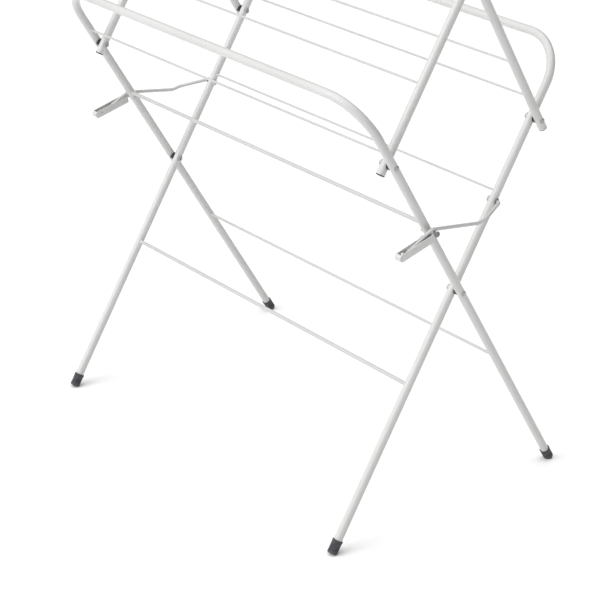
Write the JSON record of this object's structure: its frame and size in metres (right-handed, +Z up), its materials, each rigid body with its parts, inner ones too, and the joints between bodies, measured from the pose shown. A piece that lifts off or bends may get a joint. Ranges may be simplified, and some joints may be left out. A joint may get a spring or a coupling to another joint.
{
  "type": "clothes drying rack",
  "caption": "Free-standing folding clothes rack: nested bent-tube frames cross in a two-storey scissor with hanging wires, and two side stays hook over studs to hold it open.",
  "frame": {"origin": "on the floor under the scissor's middle, at the bottom centre of the bounding box", "axes": "+X along the hanging wires, +Y towards the outer lower frame's feet, +Z up"},
  "size_m": [0.6794, 0.4292, 1.0821],
  "materials": {
    "frame_tube": "white powder coat, soft gloss",
    "hanging_wire": "white powder coat, soft gloss",
    "stay_paint": "white powder coat, soft gloss",
    "handle_paint": "white powder coat over folded sheet",
    "foot_rubber": "dark moulded rubber",
    "pivot_plastic": "black moulded plastic",
    "cap_plastic": "pale grey moulded plastic, slight gloss",
    "rivet_steel": "dark zinc plate",
    "stud_steel": "bright zinc plate"
  },
  "bodies": {
    "lower_outer": {"lower_outer_frame": "frame_tube", "lower_outer_high_wire": "hanging_wire", "lower_outer_mid_wire": "hanging_wire", "lower_outer_low_wire": "hanging_wire", "back_left_foot": "foot_rubber", "back_right_foot": "foot_rubber", "lower_middle_rivet_left": "rivet_steel", "lower_middle_rivet_right": "rivet_steel", "lower_middle_spacer_left": "pivot_plastic", "lower_middle_spacer_right": "pivot_plastic", "front_rivet_left": "rivet_steel", "front_rivet_right": "rivet_steel", "front_spacer_left": "pivot_plastic", "front_spacer_right": "pivot_plastic", "stay_stud_left": "stud_steel", "stay_stud_right": "stud_steel", "stud_cap_left": "cap_plastic", "stud_cap_right": "cap_plastic"},
    "lower_inner": {"lower_inner_frame": "frame_tube", "lower_inner_high_wire": "hanging_wire", "lower_inner_mid_wire": "hanging_wire", "lower_inner_low_wire": "hanging_wire", "front_left_foot": "foot_rubber", "front_right_foot": "foot_rubber"},
    "upper_inner": {"upper_inner_frame": "frame_tube", "upper_inner_high_wire": "hanging_wire", "upper_inner_mid_wire": "hanging_wire", "upper_inner_low_wire": "hanging_wire"},
    "upper_outer": {"upper_outer_frame": "frame_tube", "upper_outer_high_wire": "hanging_wire", "upper_outer_mid_wire": "hanging_wire", "upper_outer_low_wire": "hanging_wire", "back_rivet_left": "rivet_steel", "back_rivet_right": "rivet_steel", "back_spacer_left": "pivot_plastic", "back_spacer_right": "pivot_plastic", "upper_middle_rivet_left": "rivet_steel", "upper_middle_rivet_right": "rivet_steel", "upper_middle_spacer_left": "pivot_plastic", "upper_middle_spacer_right": "pivot_plastic"},
    "stay_bush_left": {"stay_bush_left": "cap_plastic"},
    "stay_left": {"stay_wire_left": "stay_paint", "stay_handle_left": "handle_paint"},
    "stay_bush_right": {"stay_bush_right": "cap_plastic"},
    "stay_right": {"stay_wire_right": "stay_paint", "stay_handle_right": "handle_paint"}
  },
  "joints": [
    {"name": "fold", "type": "hinge", "parent": "lower_outer", "child": "lower_inner", "pos_m": [0, 0, 0.33575], "axis": [1, 0, 0], "range_deg": [0, 44]},
    {"name": "front_pivot", "type": "hinge", "parent": "lower_outer", "child": "upper_inner", "pos_m": [0, -0.1346, 0.55115], "axis": [1, 0, 0], "range_deg": [0, 44]},
    {"name": "back_pivot", "type": "hinge", "parent": "lower_inner", "child": "upper_outer", "pos_m": [0, 0.1346, 0.55115], "axis": [1, 0, 0], "range_deg": [-44, 0]},
    {"name": "stay_follow_left", "type": "hinge", "parent": "lower_inner", "child": "stay_bush_left", "pos_m": [0, 0.06942, 0.44684], "axis": [1, 0, 0], "range_deg": [-38.72, 0]},
    {"name": "stay_lift_left", "type": "hinge", "parent": "stay_bush_left", "child": "stay_left", "pos_m": [0, 0.06942, 0.44684], "axis": [-1, 0, 0], "range_deg": [0, 75]},
    {"name": "stay_follow_right", "type": "hinge", "parent": "lower_inner", "child": "stay_bush_right", "pos_m": [0, 0.06942, 0.44684], "axis": [1, 0, 0], "range_deg": [-38.72, 0]},
    {"name": "stay_lift_right", "type": "hinge", "parent": "stay_bush_right", "child": "stay_right", "pos_m": [0, 0.06942, 0.44684], "axis": [-1, 0, 0], "range_deg": [0, 75]}
  ],
  "couplings": [
    {"joint": "front_pivot", "follows": "fold", "ratio": 1},
    {"joint": "back_pivot", "follows": "fold", "ratio": -1},
    {"joint": "stay_follow_left", "follows": "fold", "ratio": -0.88},
    {"joint": "stay_follow_right", "follows": "fold", "ratio": -0.88}
  ]
}
